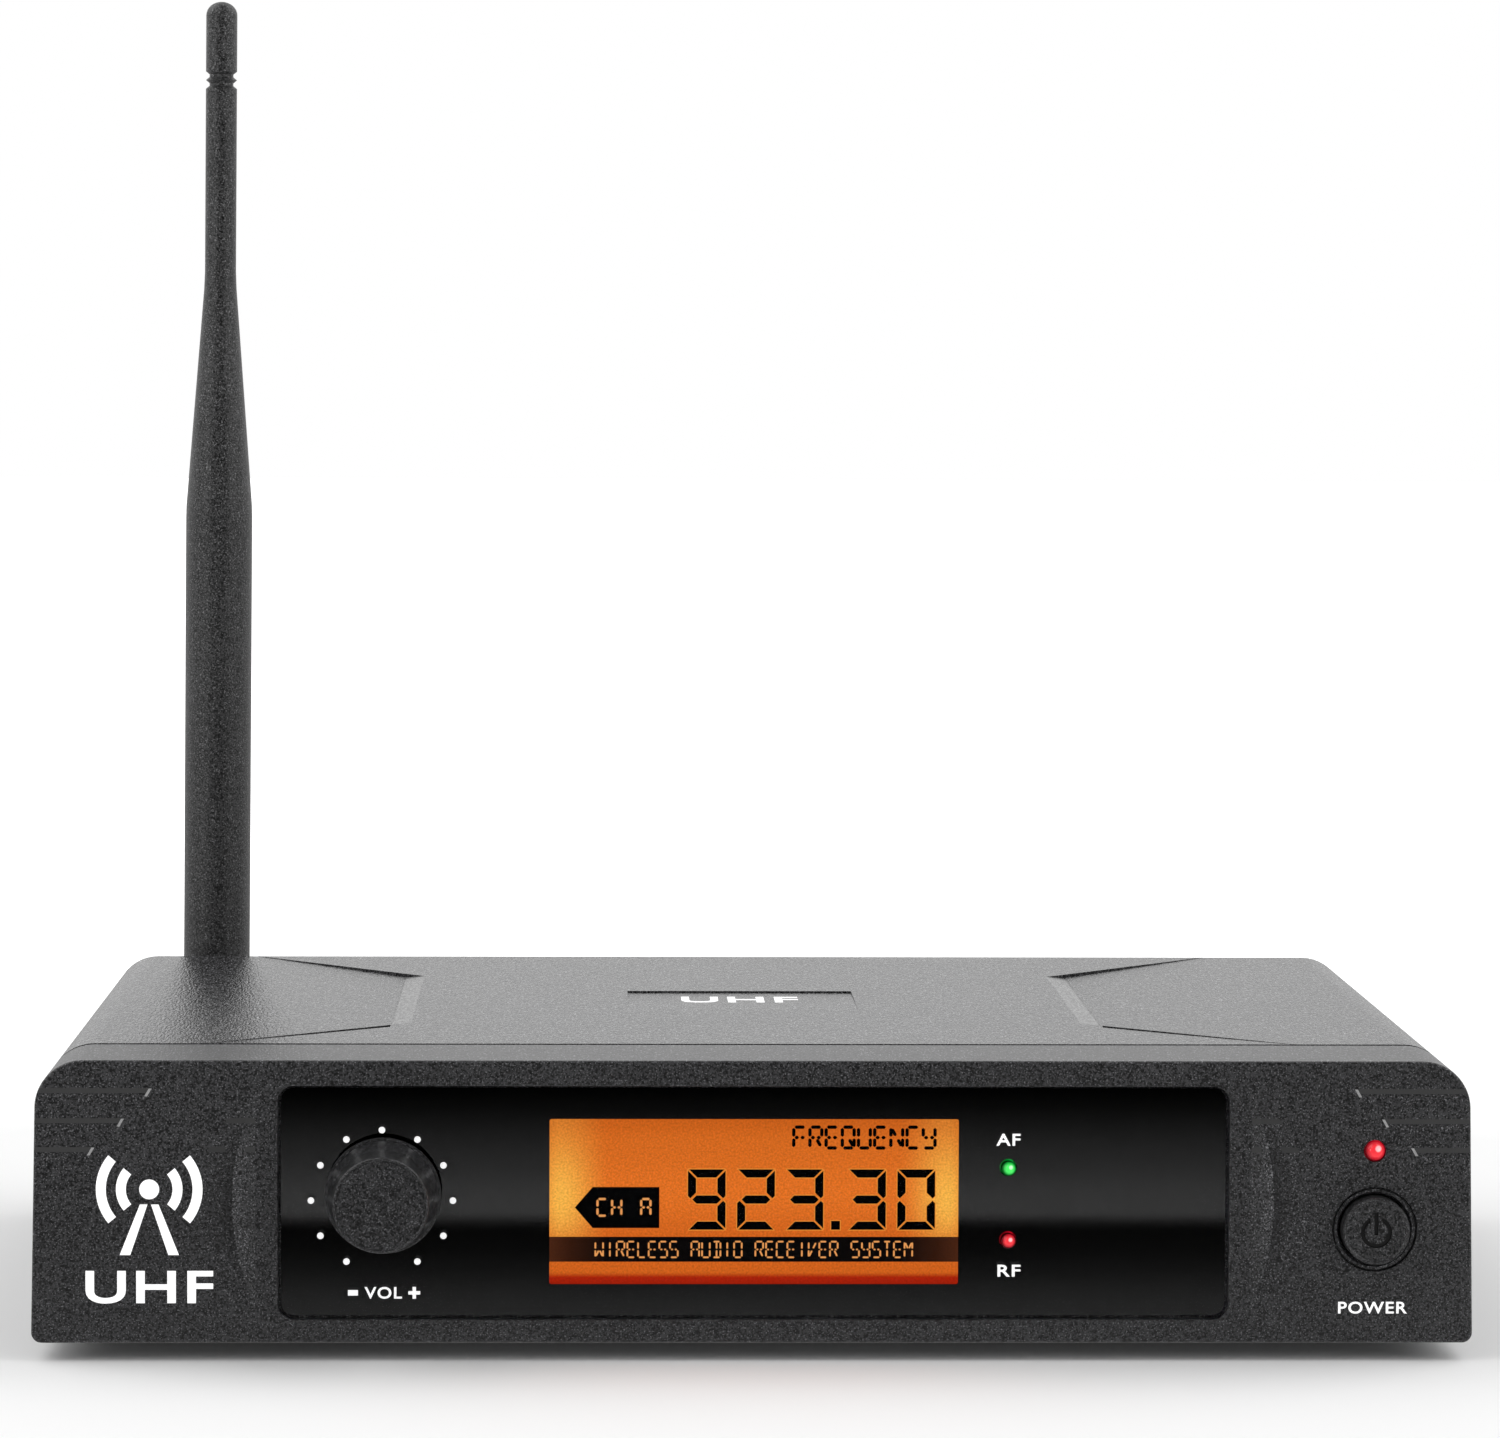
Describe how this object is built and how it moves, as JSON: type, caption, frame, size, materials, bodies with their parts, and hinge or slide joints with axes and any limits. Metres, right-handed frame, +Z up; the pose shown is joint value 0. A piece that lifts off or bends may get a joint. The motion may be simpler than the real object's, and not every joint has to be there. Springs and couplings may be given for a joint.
{
  "type": "wireless receiver unit",
  "caption": "Half-rack wireless audio receiver: plastic case, glossy window with lit display, volume knob, power button and a swivelling rod antenna at the rear.",
  "frame": {"origin": "centre of the overall footprint, from the knob's face to the back of the antenna, on the surface the feet stand on", "axes": "+X to the right seen from the front, the front faces -Y, +Z up"},
  "size_m": [0.21, 0.1794, 0.206],
  "materials": {
    "charcoal_abs": "fine spark-eroded texture, charcoal",
    "rear_panel_plastic": "fine texture, charcoal",
    "window_acrylic": "clear polished acrylic",
    "window_ink": "black ink printed on clear film",
    "foot_rubber": "matt black rubber",
    "black_screw_steel": "black oxide",
    "zinc_screw_steel": "zinc plated",
    "display_glass": "clear display glass",
    "backlight_orange": "orange light guide",
    "display_frame_metal": "blackened folded metal",
    "board_laminate": "green solder mask",
    "led_red": "lit clear red",
    "led_green": "lit clear green",
    "black_nylon": "moulded black nylon",
    "component_black": "moulded black epoxy",
    "ribbon_grey": "grey vinyl",
    "tinned_steel": "tinned",
    "capacitor_sleeve": "shrink sleeve",
    "heatsink_aluminium": "extruded, satin",
    "nickel_shell": "satin nickel plate",
    "gold_contact": "gold plated",
    "cable_black": "black vinyl",
    "antenna_plastic": "matt flexible moulding",
    "knob_plastic": "fine texture, charcoal",
    "shaft_aluminium": "turned",
    "button_plastic": "fine texture, charcoal"
  },
  "bodies": {
    "case": {"front_bezel": "charcoal_abs", "window_lens": "window_acrylic", "window_mask_film": "window_ink", "top_cover": "charcoal_abs", "bottom_tray": "charcoal_abs", "rear_panel": "rear_panel_plastic", "rubber_feet": "foot_rubber", "case_screws": "black_screw_steel", "lcd_glass": "display_glass", "lcd_backlight": "backlight_orange", "lcd_frame": "display_frame_metal", "control_pcb": "board_laminate", "power_led": "led_red", "af_led": "led_green", "rf_led": "led_red", "led_spacers": "black_nylon", "pot_body": "component_black", "power_switch_body": "component_black", "ribbon_cable": "ribbon_grey", "ribbon_headers": "component_black", "main_pcb": "board_laminate", "pcb_screws": "zinc_screw_steel", "rf_shield_can": "tinned_steel", "capacitors": "capacitor_sleeve", "ic_packages": "component_black", "ic_leads": "tinned_steel", "voltage_regulator": "component_black", "regulator_heatsink": "heatsink_aluminium", "xlr_shell": "nickel_shell", "xlr_insert": "black_nylon", "xlr_pins": "gold_contact", "xlr_screws": "black_screw_steel", "jack_body": "black_nylon", "jack_washer": "nickel_shell", "jack_nut": "black_nylon", "dc_jack_body": "component_black", "dc_jack_pin": "gold_contact", "antenna_connector": "gold_contact", "antenna_connector_nut": "nickel_shell", "antenna_coax": "cable_black", "antenna_coupling_nut": "antenna_plastic"},
    "volume_control": {"volume_knob": "knob_plastic", "volume_shaft": "shaft_aluminium"},
    "power_button": {"power_button_cap": "button_plastic", "power_switch_plunger": "component_black"},
    "antenna_base": {"antenna_swivel_base": "antenna_plastic", "antenna_hinge_pin": "zinc_screw_steel"},
    "antenna_rod": {"antenna_mast": "antenna_plastic", "antenna_radiator": "gold_contact"}
  },
  "joints": [
    {"name": "volume_turn", "type": "hinge", "parent": "case", "child": "volume_control", "pos_m": [-0.0539, -0.08348, 0.0244], "axis": [0, 1, 0], "range_deg": [-150, 150]},
    {"name": "power_press", "type": "slide", "parent": "case", "child": "power_button", "axis": [0, 1, 0], "range_m": [0, 0.0018], "stiffness_N_per_m": 1000},
    {"name": "antenna_swivel", "type": "hinge", "parent": "case", "child": "antenna_base", "pos_m": [-0.0884, 0.08402, 0.022], "axis": [0, 1, 0], "range_deg": [-90, 90]},
    {"name": "antenna_tilt", "type": "hinge", "parent": "antenna_base", "child": "antenna_rod", "pos_m": [-0.0884, 0.08402, 0.022], "axis": [-1, 0, 0.0066], "range_deg": [0, 90]}
  ]
}
